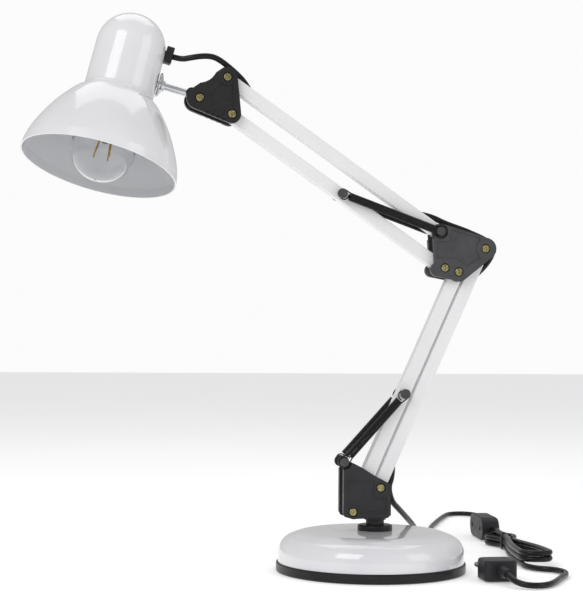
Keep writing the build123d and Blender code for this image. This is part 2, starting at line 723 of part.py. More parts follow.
# Elbow cord: out of the top bar, over the elbow, round its right end, into the rear bar.
elbow_points = [flat(ahead(pivot_a, upper_angle, 42.0, 0.6)), flat(ahead(pivot_a, upper_angle, 30.0, -1.4)),
                flat(ahead(pivot_a, upper_angle, 14.0, -8.8)), (72.0, 0, 331.4), (88.0, 0, 326.4), (102.0, 0, 321.0),
                (112.6, 0, 316.4), (119.2, 0, 309.4), (118.8, 0, 301.2),
                flat(ahead(pivot_b, lower_angle, -15.0, -9.0)), flat(ahead(pivot_b, lower_angle, -33.0, -0.8)),
                flat(ahead(pivot_b, lower_angle, -44.0, 0.8))]
elbow_cut = halfway(elbow_points[4], elbow_points[5])
cord(elbow_points[:5] + [elbow_cut], "elbow_cord_upper")
cord([elbow_cut] + elbow_points[5:], "elbow_cord_lower")

# Foot cord: out of the rear bar and between the bracket's plates.
foot_turn = flat(ahead(pivot_h, lower_angle, 4.0, -9.4))
supply_turn = (22.0, 8.0, 64.5)
supply_start = halfway(foot_turn, supply_turn)
switch_near = (178.5, 190.0, 13.0)
switch_far = (184.0, 256.0, 13.0)
# Down behind the base, straight back along the floor, round one bend and forward to the switch.
supply_points = [supply_start, supply_turn, (33.0, 24.0, 55.5), (50.0, 54.0, 42.0), (64.5, 84.0, 30.5),
                 (79.5, 117.0, 12.0), (92.0, 150.0, 3.0), (107.0, 195.0, 3.0), (122.0, 245.0, 3.0),
                 (141.0, 303.0, 3.0), (160.0, 350.0, 3.0), (178.0, 392.0, 3.0), (190.0, 418.0, 3.0),
                 (198.5, 434.0, 3.0), (213.5, 441.5, 3.0), (228.0, 433.5, 3.0), (232.0, 414.0, 3.0),
                 (229.0, 382.0, 3.0), (218.0, 340.0, 3.0), (202.0, 300.0, 5.0), (190.5, 275.0, 10.0), switch_far]
cord([flat(ahead(pivot_h, lower_angle, 44.0, 0.8)), flat(ahead(pivot_h, lower_angle, 33.0, -0.8)),
      flat(ahead(pivot_h, lower_angle, 14.0, -9.0)), foot_turn, supply_start], "foot_cord")
length_to_switch = cord(supply_points, "supply_cord_lamp_side")

# Inline rocker switch on the cord, standing on its long edge with the rocker facing away from the base.
switch_length = sqrt((switch_far[0] - switch_near[0]) ** 2 + (switch_far[1] - switch_near[1]) ** 2)
switch_along = ((switch_far[0] - switch_near[0]) / switch_length, (switch_far[1] - switch_near[1]) / switch_length, 0)
switch_out = (switch_along[1], -switch_along[0], 0)
switch_centre = halfway(switch_far, switch_near)
switch_middle = 9.8
switch_frame = Plane(origin=tuple(c - switch_middle * o for c, o in zip(switch_centre, switch_out)),
                     x_dir=switch_along, z_dir=switch_out)
switch_axis = Axis(origin=switch_centre, direction=switch_out)
rocker_pivot_z = 17.0
with BuildPart() as switch_body:
    with BuildSketch(switch_frame):
        SlotOverall(switch_length, 25.0)
    extrude(amount=2 * switch_middle)
    fillet(switch_body.faces().sort_by(switch_axis)[-1].edges(), 3.5)
    fillet(switch_body.faces().sort_by(switch_axis)[0].edges(), 1.2)
    with BuildSketch(switch_frame.offset(12.0)):
        RectangleRounded(20.6, 12.6, 1.2)
    extrude(amount=20, mode=Mode.SUBTRACT)
    with BuildSketch(switch_frame):
        with Locations((-20.0, 0), (20.0, 0)):
            Circle(2.6)
    extrude(amount=3.0, mode=Mode.SUBTRACT)
    with BuildSketch(Plane(origin=switch_frame.from_local_coords(Vector(0, -7.3, rocker_pivot_z)),
                           x_dir=switch_frame.x_dir, z_dir=switch_frame.y_dir)):
        Circle(1.26)
    extrude(amount=14.6, mode=Mode.SUBTRACT)
export(switch_body.part, "inline_switch_body")

with BuildPart() as rocker:
    with BuildSketch(Plane(origin=switch_frame.from_local_coords(Vector(0, 5.9, rocker_pivot_z)),
                           x_dir=switch_frame.x_dir, z_dir=-switch_frame.y_dir)):
        with BuildLine():
            Polyline((-9.6, 2.2), (-9.2, -2.0), (-3.0, -3.6), (3.0, -3.6), (9.2, -2.0), (9.6, 4.6), (2.0, 3.0),
                     (-2.0, 2.4), close=True)
        make_face()
    extrude(amount=11.8)
    with BuildSketch(Plane(origin=switch_frame.from_local_coords(Vector(0, -6.9, rocker_pivot_z)),
                           x_dir=switch_frame.x_dir, z_dir=switch_frame.y_dir)):
        Circle(1.2)
    extrude(amount=13.8)
export(rocker.part, "inline_switch_rocker")

# The hank: three turns of cord lying flat on each other.
hank_near = (163.5, -12.0)
hank_far = (182.5, 181.0)
hank_width = 34.0
hank_length = sqrt((hank_far[0] - hank_near[0]) ** 2 + (hank_far[1] - hank_near[1]) ** 2)
hank_angle = degrees(atan2(hank_far[1] - hank_near[1], hank_far[0] - hank_near[0]))
hank_height = 17.0
hank_frame = Plane(origin=((hank_near[0] + hank_far[0]) / 2, (hank_near[1] + hank_far[1]) / 2, 0),
                   x_dir=(cos(radians(hank_angle)), sin(radians(hank_angle)), 0), z_dir=(0, 0, 1))
with BuildPart() as hank:
    with BuildSketch(hank_frame.offset(0.2)):
        SlotOverall(hank_length, hank_width)
    extrude(amount=hank_height)
    fillet(hank.faces().sort_by(Axis.Z)[-1].edges(), 2.6)
    fillet(hank.faces().sort_by(Axis.Z)[0].edges(), 2.6)
export(hank.part, "cord_hank")

tie_along = 46.0
with BuildPart() as tie:
    with BuildSketch(hank_frame.offset(0.05)):
        with Locations((tie_along, 0)):
            Rectangle(5.0, hank_width + 1.6)
    extrude(amount=hank_height + 1.0)
    with BuildSketch(hank_frame.offset(hank_height)):
        with Locations((tie_along, 8.0)):
            RectangleRounded(7.0, 7.0, 1.0)
    extrude(amount=4.0)
    with BuildSketch(hank_frame.offset(0.2)):
        SlotOverall(hank_length, hank_width)
    extrude(amount=hank_height, mode=Mode.SUBTRACT)
export(tie.part, "cord_tie")

strand_in = tuple(hank_frame.from_local_coords(Vector(84.0, 0, 9.0)))
strand_out = tuple(hank_frame.from_local_coords(Vector(-81.0, 13.2, 3.0)))
cord([switch_near, strand_in], "supply_cord_middle")

# Two-pin plug with a tapered boot.
plug_x = 101.5
plug_z = 10.0
plug_front = -90.0
plug_back = -60.0
boot_end = -107.0
plug_points = [strand_out, (149.4, -12.0, 3.0), (155.6, -29.0, 3.0), (169.6, -38.0, 3.0), (174.6, -54.0, 3.0),
               (169.4, -70.0, 3.0), (158.0, -88.0, 3.0), (144.0, -112.0, 3.0), (133.0, -126.0, 3.0),
               (120.7, -131.0, 3.0), (108.2, -127.5, 3.8), (plug_x, -117.5, 7.0), (plug_x, boot_end, plug_z)]
cord(plug_points, "supply_cord_plug_side")

with BuildPart() as plug_body:
    with BuildSketch(Plane.XY.offset(0.4)):
        with Locations((plug_x, (plug_front + plug_back) / 2)):
            RectangleRounded(31.0, plug_back - plug_front, 6.0)
    extrude(amount=19.2)
    fillet(plug_body.faces().sort_by(Axis.Z)[-1].edges(), 3.0)
    fillet(plug_body.faces().sort_by(Axis.Z)[0].edges(), 2.0)
    with BuildSketch(Plane(origin=(plug_x, plug_front + 1.0, plug_z), z_dir=(0, -1, 0))):
        Circle(6.2)
    with BuildSketch(Plane(origin=(plug_x, boot_end, plug_z), z_dir=(0, -1, 0))):
        Circle(4.0)
    loft()
    for ridge in (-3.0, 3.0):
        with BuildSketch(Plane.XY.offset(plug_z + ridge - 0.5)):
            with Locations((plug_x, (plug_front + plug_back) / 2)):
                RectangleRounded(32.0, 20.0, 2.0)
        extrude(amount=1.0)
export(plug_body.part, "plug_body")

pins = []
for offset_x in (-9.5, 9.5):
    with BuildPart() as pin:
        with BuildSketch(Plane(origin=(plug_x + offset_x, plug_back, plug_z), z_dir=(0, 1, 0))):
            Circle(2.4)
        extrude(amount=19.0)
        fillet(pin.faces().sort_by(Axis.Y)[-1].edges(), 1.0)
    pins.append(pin.part)
export(Compound(children=pins), "plug_pins")

turn_length = 2 * (hank_length - hank_width) + pi * (hank_width - 2 * cord_radius)
print("hank turn", round(turn_length), "three turns", round(3 * turn_length))
print("pivots", [tuple(round(v, 1) for v in p) for p in
                 (pivot_h, pivot_i, pivot_b, pivot_d, pivot_a, pivot_c, pivot_e, pivot_f, pivot_g)])
print("shade centre", [round(v, 2) for v in shade_centre], "up", [round(v, 4) for v in shade_up],
      "rod", [round(v, 4) for v in rod_axis])
print("strands", [round(v, 2) for v in strand_in], [round(v, 2) for v in strand_out])
print("head points", [tuple(round(v, 2) for v in point) for point in head_points])
print("elbow points", [tuple(round(v, 2) for v in point) for point in elbow_points])
print("foot points", [tuple(round(v, 2) for v in point) for point in (foot_turn, supply_start)])
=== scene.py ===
import bpy
import numpy as np
from mathutils import Matrix, Vector


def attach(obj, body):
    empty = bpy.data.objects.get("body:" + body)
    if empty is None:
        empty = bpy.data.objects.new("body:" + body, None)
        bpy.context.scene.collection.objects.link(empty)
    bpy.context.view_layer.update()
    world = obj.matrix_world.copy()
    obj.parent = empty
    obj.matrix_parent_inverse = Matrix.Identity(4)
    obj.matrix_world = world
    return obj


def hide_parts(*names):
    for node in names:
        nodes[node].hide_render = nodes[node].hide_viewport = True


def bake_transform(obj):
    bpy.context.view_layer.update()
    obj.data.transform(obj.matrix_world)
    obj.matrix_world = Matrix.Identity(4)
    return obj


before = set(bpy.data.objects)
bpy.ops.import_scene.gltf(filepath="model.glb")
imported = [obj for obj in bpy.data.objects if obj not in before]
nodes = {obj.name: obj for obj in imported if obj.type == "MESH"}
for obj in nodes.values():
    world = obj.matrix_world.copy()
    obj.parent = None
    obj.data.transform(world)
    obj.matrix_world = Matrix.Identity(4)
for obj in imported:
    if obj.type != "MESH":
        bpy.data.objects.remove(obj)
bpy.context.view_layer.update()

scene = bpy.context.scene
mm = 0.001


def addCamera(view):
    data = bpy.data.cameras.new("mainCamera")
    data.lens = view["lens"]
    data.sensor_width = 36
    data.clip_start = 0.05
    camera = bpy.data.objects.new("mainCamera", data)
    scene.collection.objects.link(camera)
    right, up, ahead = (Vector(view[key]) for key in ("right", "up", "ahead"))
    turn = Matrix((right, up, -ahead)).transposed().to_4x4()
    camera.matrix_world = Matrix.Translation(view["place"]) @ turn
    scene.camera = camera


addCamera({
    "lens": 93.6,
    "place": (-0.335098, -1.453393, 0.217065),
    "right": (0.984676, -0.174231, 0.007485),
    "up": (-0.011971, -0.024712, 0.999623),
    "ahead": (0.17398, 0.984395, 0.026419),
})
print("camera set")


def colour(code):
    # sRGB hex to linear RGBA.
    part = np.array([int(code[i:i + 2], 16) for i in (1, 3, 5)]) / 255
    linear = np.where(part <= 0.04045, part / 12.92, ((part + 0.055) / 1.055) ** 2.4)
    return (*linear.tolist(), 1.0)


def addNode(tree, kind, values=None, links=None, **settings):
    # One node: values by socket name or number, links as socket -> output.
    made = tree.nodes.new(kind)
    for key, value in settings.items():
        setattr(made, key, value)
    for key, value in (values or {}).items():
        made.inputs[key].default_value = value
    for key, source in (links or {}).items():
        tree.links.new(source, made.inputs[key])
    return made


def perMetre(sizeMm):
    return 1000.0 / sizeMm


def noise(tree, coords, sizeMm, detail=3.0, rough=0.5):
    values = {"Scale": perMetre(sizeMm), "Detail": detail, "Roughness": rough}
    return addNode(tree, "ShaderNodeTexNoise", values, {"Vector": coords}).outputs["Fac"]


def spread(tree, source, low, high, fromLow=0.3, fromHigh=0.7):
    made = addNode(tree, "ShaderNodeMapRange",
                   {"From Min": fromLow, "From Max": fromHigh, "To Min": low, "To Max": high},
                   {"Value": source})
    return made.outputs[0]


def mixColour(tree, factor, first, second):
    made = addNode(tree, "ShaderNodeMix", data_type="RGBA")
    tree.links.new(factor, made.inputs["Factor"])
    for socket, value in ((6, first), (7, second)):
        if isinstance(value, tuple):
            made.inputs[socket].default_value = value
        else:
            tree.links.new(value, made.inputs[socket])
    return made.outputs[2]


def finish(name, spec):
    # A surface: mottled colour, uneven gloss, fine relief and softened edges.
    material = bpy.data.materials.new(name)
    material.use_nodes = True
    tree = material.node_tree
    shader = tree.nodes["Principled BSDF"]
    coords = addNode(tree, "ShaderNodeTexCoord").outputs["Object"]
    mottle = noise(tree, coords, spec.get("mottleMm", 18), 4)
    base, patch = colour(spec["colour"]), colour(spec["mottle"])
    tint = mixColour(tree, spread(tree, mottle, 0, 1), base, patch)
    if "speck" in spec:
        specks = noise(tree, coords, spec.get("speckMm", 0.8), 2)
        tint = mixColour(tree, spread(tree, specks, 0, 0.5, 0.56, 0.72), tint, colour(spec["speck"]))
    tree.links.new(tint, shader.inputs["Base Color"])
    low, high = spec["rough"]
    wear = noise(tree, coords, spec.get("wearMm", 7), 5, 0.6)
    tree.links.new(spread(tree, wear, low, high), shader.inputs["Roughness"])
    shader.inputs["Metallic"].default_value = spec.get("metal", 0.0)
    shader.inputs["Coat Weight"].default_value = spec.get("coat", 0.0)
    shader.inputs["Coat Roughness"].default_value = spec.get("coatRough", 0.05)
    shader.inputs["Specular IOR Level"].default_value = spec.get("specular", 0.5)
    relief = noise(tree, coords, spec["grainMm"], 3, 0.55)
    soft = addNode(tree, "ShaderNodeBevel", {"Radius": spec.get("edgeMm", 0.25) * mm}, samples=4)
    depth = spec.get("depthMm", 0.08) * mm
    bump = addNode(tree, "ShaderNodeBump", {"Strength": spec["bump"], "Distance": depth},
                   {"Height": relief, "Normal": soft.outputs[0]})
    tree.links.new(bump.outputs[0], shader.inputs["Normal"])
    return material, tree, shader, coords, mottle


finishes = {
    # moulded ABS ring: even black with a satin sheen
    "ringPlastic": {"colour": "#141416", "mottle": "#1b1b1d", "rough": (0.28, 0.42), "grainMm": 0.9,
                    "bump": 0.25, "specular": 0.3},
    # stoved white enamel over pressed steel: glossy, with long clean highlights
    "whiteEnamel": {"colour": "#dfdee3", "mottle": "#e7e7ea", "mottleMm": 45, "rough": (0.1, 0.18),
                    "grainMm": 2.4, "bump": 0.05, "coat": 0.7, "coatRough": 0.04},
    # raw grey iron casting: dull, dark and grainy
    "castIron": {"colour": "#2b2a29", "mottle": "#3a3836", "rough": (0.6, 0.85), "grainMm": 1.4,
                 "bump": 0.7, "metal": 0.6},
    # closed-cell black foam: no shine at all
    "footFoam": {"colour": "#0d0d0d", "mottle": "#161616", "rough": (0.8, 0.95), "grainMm": 0.7,
                 "bump": 0.8},
    # spark-textured black nylon: a fine pebbled grain that breaks up the shine
    "bracketBlack": {"colour": "#242427", "mottle": "#2c2c2f", "speck": "#3c3c40", "speckMm": 0.7,
                     "rough": (0.36, 0.52), "grainMm": 0.55, "bump": 0.5, "depthMm": 0.1, "edgeMm": 0.35,
                     "specular": 0.35},
    # the same nylon, painted greyer on the elbow as a painted highlight where the light catches it
    "elbowPaintedLightNylon": {"colour": "#39393b", "mottle": "#474749", "speck": "#5c5c5e", "speckMm": 0.7,
                  "rough": (0.38, 0.55), "grainMm": 0.55, "bump": 0.5, "depthMm": 0.1, "edgeMm": 0.35,
                  "specular": 0.35},
    # the same nylon, darkest at the head
    "headBlack": {"colour": "#18181a", "mottle": "#202022", "speck": "#2f2f33", "speckMm": 0.7,
                  "rough": (0.34, 0.5), "grainMm": 0.55, "bump": 0.45, "depthMm": 0.1, "edgeMm": 0.35,
                  "specular": 0.35},
    # turned nylon caps: smoother, with lighter patches in the colour as a painted highlight for the bright
    # rim
    "knobPlastic": {"colour": "#2e2e30", "mottle": "#444446", "rough": (0.3, 0.45), "grainMm": 0.6,
                    "bump": 0.3},
    # powder-coated steel bar: white with a faint orange peel
    "whiteBar": {"colour": "#e6e6e8", "mottle": "#ededee", "mottleMm": 60, "rough": (0.16, 0.27),
                 "grainMm": 1.1, "bump": 0.12, "coat": 0.4, "coatRough": 0.08, "edgeMm": 0.5},
    # yellow-passivated zinc: dark and bright gold patches
    "brassScrew": {"colour": "#5f5633", "mottle": "#cdc08c", "mottleMm": 1.3, "rough": (0.22, 0.42),
                   "wearMm": 1.2, "grainMm": 0.5, "bump": 0.25, "metal": 1.0, "edgeMm": 0.2},
    # plain zinc on nuts and pins: soft grey metal
    "zinc": {"colour": "#8f9092", "mottle": "#a8a9ab", "mottleMm": 4, "rough": (0.25, 0.4), "wearMm": 2,
             "grainMm": 0.6, "bump": 0.2, "metal": 1.0},
    # blackened spring wire: dark with a thin metal glint
    "springWire": {"colour": "#161617", "mottle": "#262628", "mottleMm": 3, "rough": (0.24, 0.4),
                   "wearMm": 1.5, "grainMm": 0.4, "bump": 0.3, "metal": 0.55},
    # bright nickel-chrome plate: near mirror
    "chrome": {"colour": "#d3d5d8", "mottle": "#c6c8cc", "rough": (0.04, 0.1), "grainMm": 3.0, "bump": 0.04,
               "metal": 1.0},
    # pale heat-resistant thermoset: matt ivory
    "holderPlastic": {"colour": "#d9d7d0", "mottle": "#cfccc3", "rough": (0.35, 0.5), "grainMm": 0.9,
                      "bump": 0.2},
    # rolled aluminium screw cap: brushed grey
    "capAluminium": {"colour": "#b9babc", "mottle": "#a7a8aa", "rough": (0.3, 0.45), "grainMm": 0.7,
                     "bump": 0.2, "metal": 1.0},
    # phosphor-coated light strips: matt amber
    "filamentCoat": {"colour": "#b98a2c", "mottle": "#c99b3c", "mottleMm": 1.5, "rough": (0.5, 0.7),
                     "grainMm": 0.4, "bump": 0.4},
    # extruded PVC sheath: black with one soft line of light
    "cordSheath": {"colour": "#0b0b0c", "mottle": "#121213", "mottleMm": 12, "rough": (0.24, 0.36),
                   "grainMm": 0.8, "bump": 0.18, "coat": 0.0, "specular": 0.3},
    # moulded PVC plug and switch shell: black with a fine grain
    "plugPlastic": {"colour": "#1d1d20", "mottle": "#252528", "speck": "#303036", "rough": (0.36, 0.5),
                    "grainMm": 0.6, "bump": 0.4, "edgeMm": 0.4, "specular": 0.3},
}
materials = {}
for name, spec in finishes.items():
    materials[name] = finish(name, spec)[0]


def shadeEnamel():
    # Gloss enamel outside, flatter white inside, told apart by which way the sheet faces.
    material, tree, shader, coords, mottle = finish("shadeEnamel", {
        "colour": "#e0e0e4", "mottle": "#e9e9ec", "mottleMm": 60, "rough": (0.12, 0.2), "grainMm": 2.6,
        "bump": 0.05, "coat": 0.6, "edgeMm": 0.3})
    facing = addNode(tree, "ShaderNodeTexCoord").outputs["Normal"]
    # a point on the shade's axis, inside its bell
    centre = (-0.23887, 0.0, 0.46453)
    outward = addNode(tree, "ShaderNodeVectorMath", {1: centre}, {0: coords},
                      operation="SUBTRACT").outputs[0]
    dot = addNode(tree, "ShaderNodeVectorMath", None, {0: facing, 1: outward}, operation="DOT_PRODUCT")
    side = dot.outputs["Value"]
    inside = addNode(tree, "ShaderNodeMath", {1: 0.0}, {0: side}, operation="LESS_THAN").outputs[0]
    outer = shader.inputs["Base Color"].links[0].from_socket
    tree.links.new(mixColour(tree, inside, outer, colour("#cfd0d3")), shader.inputs["Base Color"])
    gloss = shader.inputs["Roughness"].links[0].from_socket
    flat = addNode(tree, "ShaderNodeMix", {"B": 0.42}, {"Factor": inside, "A": gloss})
    tree.links.new(flat.outputs[0], shader.inputs["Roughness"])
    coatShare = addNode(tree, "ShaderNodeMath", {0: -0.6, 2: 0.6}, {1: inside}, operation="MULTIPLY_ADD")
    tree.links.new(coatShare.outputs[0], shader.inputs["Coat Weight"])
    return material


def clearGlass(name, tint, rough):
    # Blown lamp glass: clear, with a faint ripple.
    material, tree, shader, coords, mottle = finish(name, {
        "colour": tint, "mottle": "#ffffff", "rough": (rough, rough + 0.03), "grainMm": 9, "bump": 0.05,
        "edgeMm": 0.05})
    shader.inputs["Transmission Weight"].default_value = 1.0
    shader.inputs["IOR"].default_value = 1.47
    return material


materials["shadeEnamel"] = shadeEnamel()
materials["bulbGlass"] = clearGlass("bulbGlass", "#f6f8fa", 0.0)
materials["mountGlass"] = clearGlass("mountGlass", "#eef3f2", 0.04)

worn = {
    "ringPlastic": ("base_ring", "socket_collar"),
    "whiteEnamel": ("base_cover",),
    "castIron": ("base_weight",),
    "footFoam": ("base_pad",),
    "bracketBlack": ("base_bracket_near", "base_bracket_far"),
    # the elbow takes the nylon painted lighter: painted highlight, not a different plastic
    "elbowPaintedLightNylon": ("elbow_near", "elbow_far"),
    "headBlack": ("head_bracket_near", "head_bracket_far", "stem_block", "cord_grommet"),
    "knobPlastic": ("base_spring_pins", "elbow_spring_pin", "lower_spring_pin", "upper_spring_pin"),
    "whiteBar": ("lower_bar_rear", "lower_bar_front", "upper_bar_top", "upper_bar_bottom"),
    "brassScrew": ("base_screws", "elbow_screws", "head_screws", "head_clamp_bolt"),
    "zinc": ("spindle", "base_nuts", "elbow_nuts", "head_nuts", "head_wing_nut", "plug_pins",
             "holder_plate"),
    "springWire": ("lower_springs", "upper_springs"),
    "chrome": ("stem_rod", "stem_washer", "stem_nut"),
    "shadeEnamel": ("shade",),
    "holderPlastic": ("lamp_holder",),
    "capAluminium": ("bulb_cap",),
    "bulbGlass": ("bulb_glass",),
    "mountGlass": ("bulb_mount",),
    "filamentCoat": ("bulb_filaments",),
    "cordSheath": ("head_cord_front", "head_cord_rear", "head_cord_end", "elbow_cord_upper",
                   "elbow_cord_lower", "foot_cord", "supply_cord_lamp_side", "supply_cord_middle",
                   "supply_cord_plug_side", "cord_hank"),
    "plugPlastic": ("inline_switch_body", "inline_switch_rocker", "plug_body", "cord_tie"),
}
for name, members in worn.items():
    for member in members:
        for slot in nodes[member].material_slots:
            slot.material = materials[name]
print("materials set")


def metres(points):
    return np.array(points, float) * mm


def addMesh(name, verts, faces, material, smooth=True):
    data = bpy.data.meshes.new(name)
    data.from_pydata(verts.tolist(), [], faces)
    data.update()
    data.polygons.foreach_set("use_smooth", np.full(len(data.polygons), smooth))
    data.materials.append(materials[material])
    made = bpy.data.objects.new(name, data)
    scene.collection.objects.link(made)
    return made


def tube(name, line, radius, material, sides=14):
    # Sweeps a circle along a line, carrying its frame without twist; radius may vary along it.
    count = len(line)
    radius = np.broadcast_to(np.asarray(radius, float), (count,))
    along = np.gradient(line, axis=0)
    along /= np.linalg.norm(along, axis=1)[:, None]
    side = np.zeros_like(line)
    start = np.cross(along[0], (0.0, 1.0, 0.0) if abs(along[0][1]) < 0.9 else (1.0, 0.0, 0.0))
    side[0] = start / np.linalg.norm(start)
    for i in range(1, count):
        carried = side[i - 1] - along[i] * (side[i - 1] @ along[i])
        side[i] = carried / np.linalg.norm(carried)
    other = np.cross(along, side)
    turn = np.linspace(0, 2 * np.pi, sides, endpoint=False)
    ring = np.cos(turn)[None, :, None] * side[:, None, :] + np.sin(turn)[None, :, None] * other[:, None, :]
    verts = (line[:, None, :] + radius[:, None, None] * ring).reshape(-1, 3)
    verts = np.vstack([verts, line[0], line[-1]])
    i, j = np.meshgrid(np.arange(count - 1), np.arange(sides), indexing="ij")
    a = i * sides + j
    b = i * sides + (j + 1) % sides
    faces = np.stack([a, b, b + sides, a + sides], -1).reshape(-1, 4).tolist()
    first, last = count * sides, count * sides + 1
    end = (count - 1) * sides
    faces += [(first, (k + 1) % sides, k) for k in range(sides)]
    faces += [(last, end + k, end + (k + 1) % sides) for k in range(sides)]
    return addMesh(name, verts, faces, material)


def splineObject(name, points, bevel=0.0, resolution=14):
    # One open spline of order 3 whose control points are the route's points.
    data = bpy.data.curves.new(name, "CURVE")
    data.dimensions = "3D"
    data.resolution_u = resolution
    data.bevel_depth = bevel
    data.bevel_resolution = 5
    data.use_fill_caps = True
    spline = data.splines.new("NURBS")
    spline.points.add(len(points) - 1)
    spline.points.foreach_set("co", np.hstack([points, np.ones((len(points), 1))]).ravel())
    spline.order_u = 3
    spline.use_endpoint_u = True
    made = bpy.data.objects.new(name, data)
    scene.collection.objects.link(made)
    return made


def splineLine(points):
    # Points along the route's smooth line, in order.
    guide = splineObject("guide", points)
    data = bpy.data.meshes.new_from_object(guide)
    line = np.zeros(len(data.vertices) * 3)
    data.vertices.foreach_get("co", line)
    bpy.data.objects.remove(guide)
    bpy.data.meshes.remove(data)
    return line.reshape(-1, 3)


cordWidth = 5.6
supplyRoute = [(19.46, 4.0, 71.71), (22.0, 8.0, 64.5), (33.0, 24.0, 55.5), (50.0, 54.0, 42.0),
               (64.5, 84.0, 30.5), (79.5, 117.0, 12.0), (92.0, 150.0, 3.0), (107.0, 195.0, 3.0),
               (122.0, 245.0, 3.0), (141.0, 303.0, 3.0), (160.0, 350.0, 3.0), (178.0, 392.0, 3.0),
               (190.0, 418.0, 3.0), (198.5, 434.0, 3.0), (213.5, 441.5, 3.0), (228.0, 433.5, 3.0),
               (232.0, 414.0, 3.0), (229.0, 382.0, 3.0), (218.0, 340.0, 3.0), (202.0, 300.0, 5.0),
               (190.5, 275.0, 10.0), (184.0, 256.0, 13.0)]
switchNear = (178.5, 190.0, 13.0)


def hankFrame(hank):
    near, far = np.array(hank["near"]), np.array(hank["far"])
    ahead = (far - near) / np.linalg.norm(far - near)
    return (near + far) / 2, ahead, np.array((-ahead[1], ahead[0]))


def hankRoute(hank):
    # Control points of the folded runs: down the left, back up the right, one cord lower each time.
    centre, ahead, left = hankFrame(hank)

    def at(along, side, height):
        flat = centre + along * ahead + side * left
        return (flat[0], flat[1], height)

    reach, bend, half = hank["reach"], hank["bend"], hank["half"]
    waist = hank["waist"]
    points = [switchNear, at(96, 1.5, 14.0), at(84, 3.5, 15.0), at(70, 4.0, 14.8)]
    for level in hank["levels"]:
        down = level - hank["drop"]
        points += [at(54, waist, level), at(38, waist, level), at(4, 8.0, level), at(-36, half - 1, level),
                   at(-reach + 24, half, level), at(-reach + 8, half, level),
                   at(-reach, half - bend, level), at(-reach, bend - half, level),
                   at(-reach + 8, -half, level), at(-reach + 24, -half, level - 0.6),
                   at(-36, 1 - half, level - 1.6), at(4, -8.0, level - 3.0), at(38, -waist, level - 3.9),
                   at(54, -waist, level - 4.6), at(reach - 20, -half, down + 0.6),
                   at(reach - 8, -half, down), at(reach, bend - half, down), at(reach, half - bend, down),
                   at(reach - 8, half, down), at(reach - 20, half, down)]
    points += [at(54, waist, 3.0), at(38, waist, 3.0), at(4, 8.0, 3.0), at(-30, half - 1, 3.0),
               at(-56, half, 3.0)]
    return points


plugRoute = [(151.93, 5.18, 3.0), (149.4, -12.0, 3.0), (155.6, -29.0, 3.0), (169.6, -38.0, 3.0),
             (174.6, -54.0, 3.0), (169.4, -70.0, 3.0), (158.0, -88.0, 3.0), (144.0, -112.0, 3.0),
             (133.0, -126.0, 3.0), (120.7, -131.0, 3.0), (108.2, -127.5, 3.8), (101.5, -117.5, 7.0),
             (101.5, -107.0, 10.0)]
hank = {"near": (163.5, -12.0), "far": (182.5, 181.0), "reach": 93.4, "bend": 6.0, "half": 14.2,
        "waist": 3.1, "levels": (14.4, 8.7), "drop": 5.7}


def addTie(hank, tie):
    # a flat strap drawn close about the cord where the hank is narrowest
    centre, ahead, left = hankFrame(hank)
    middle = centre + tie["along"] * ahead
    inner, outer = [], []
    for side, height in tie["section"]:
        lean = np.array((side, height - tie["waistHeight"]))
        push = lean / np.linalg.norm(lean) * tie["thick"]
        inner.append((side, height))
        outer.append((side + push[0], max(height + push[1], 0.06)))
    rings = []
    for offset in (-tie["wide"] / 2, tie["wide"] / 2):
        for side, height in inner + outer:
            flat = middle + offset * ahead + side * left
            rings.append((flat[0], flat[1], height))
    count = len(inner)
    faces = []
    for i in range(count):
        j = (i + 1) % count
        a, b = 0, 2 * count
        faces += [(a + i, a + j, a + count + j, a + count + i),
                  (b + j, b + i, b + count + i, b + count + j), (a + j, a + i, b + i, b + j),
                  (a + count + i, a + count + j, b + count + j, b + count + i)]
    made = addMesh("hank_tie", metres(rings), faces, "plugPlastic", False)
    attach(made, "foot_bracket")
    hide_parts("cord_tie")
    return made


hankTie = addTie(hank, {
    "along": 46, "wide": 4.6, "thick": 1.0, "waistHeight": 8.0,
    "section": [(-5.9, 0.2), (0, 0.2), (5.9, 0.2), (6.1, 6), (6.1, 12), (5.7, 15.4), (3.8, 17.2),
                (0.8, 16.2), (-3.4, 13.4), (-5.4, 12.0), (-6.1, 9), (-6.1, 4)]})


def lineLength(line):
    return float(np.linalg.norm(np.diff(line, axis=0), axis=1).sum())


def addFreeCord(name, route, replaced, **facts):
    points = metres(route)
    made = splineObject(name, points, cordWidth / 2 * mm)
    made.data.materials.append(materials["cordSheath"])
    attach(made, "foot_bracket")
    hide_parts(*replaced)
    length = lineLength(splineLine(points))
    print(name, "length", round(length, 3))
    return made


addFreeCord("supply_cord", supplyRoute, ["supply_cord_lamp_side"], far_end="fitting", lay="loose",
            with_pieces=[nodes["inline_switch_body"], nodes["inline_switch_rocker"]])
addFreeCord("plug_cord", hankRoute(hank) + plugRoute,
            ["supply_cord_middle", "cord_hank", "supply_cord_plug_side"], far_end="plug", lay="coiled",
            with_pieces=[hankTie, nodes["plug_body"], nodes["plug_pins"]])
print("free cord made")


headRoute = [(-192.41, 6.18, 483.82), (-184.18, 6.18, 481.68), (-176.0, 0.8, 482.8), (-165.0, 0.4, 484.8),
             (-154.6, 0, 484.6), (-145.4, 0, 479.6), (-131.58, 0, 468.4), (-124.2, 0, 460.58),
             (-116.95, 0, 448.13), (-108.17, 0, 439.72)]
elbowRoute = [(28.97, 0, 346.17), (40.01, 0, 341.06), (57.39, 0, 338.16), (72.0, 0, 331.4),
              (88.0, 0, 326.4), (102.0, 0, 321.0), (112.6, 0, 316.4), (119.2, 0, 309.4), (118.8, 0, 301.2),
              (110.87, 0, 289.94), (96.04, 0, 276.86), (90.09, 0, 267.47)]
footRoute = [(25.2, 0, 119.6), (20.9, 0, 109.4), (20.6, 0, 88.2), (16.91, 0, 78.91), (19.46, 4.0, 71.71)]


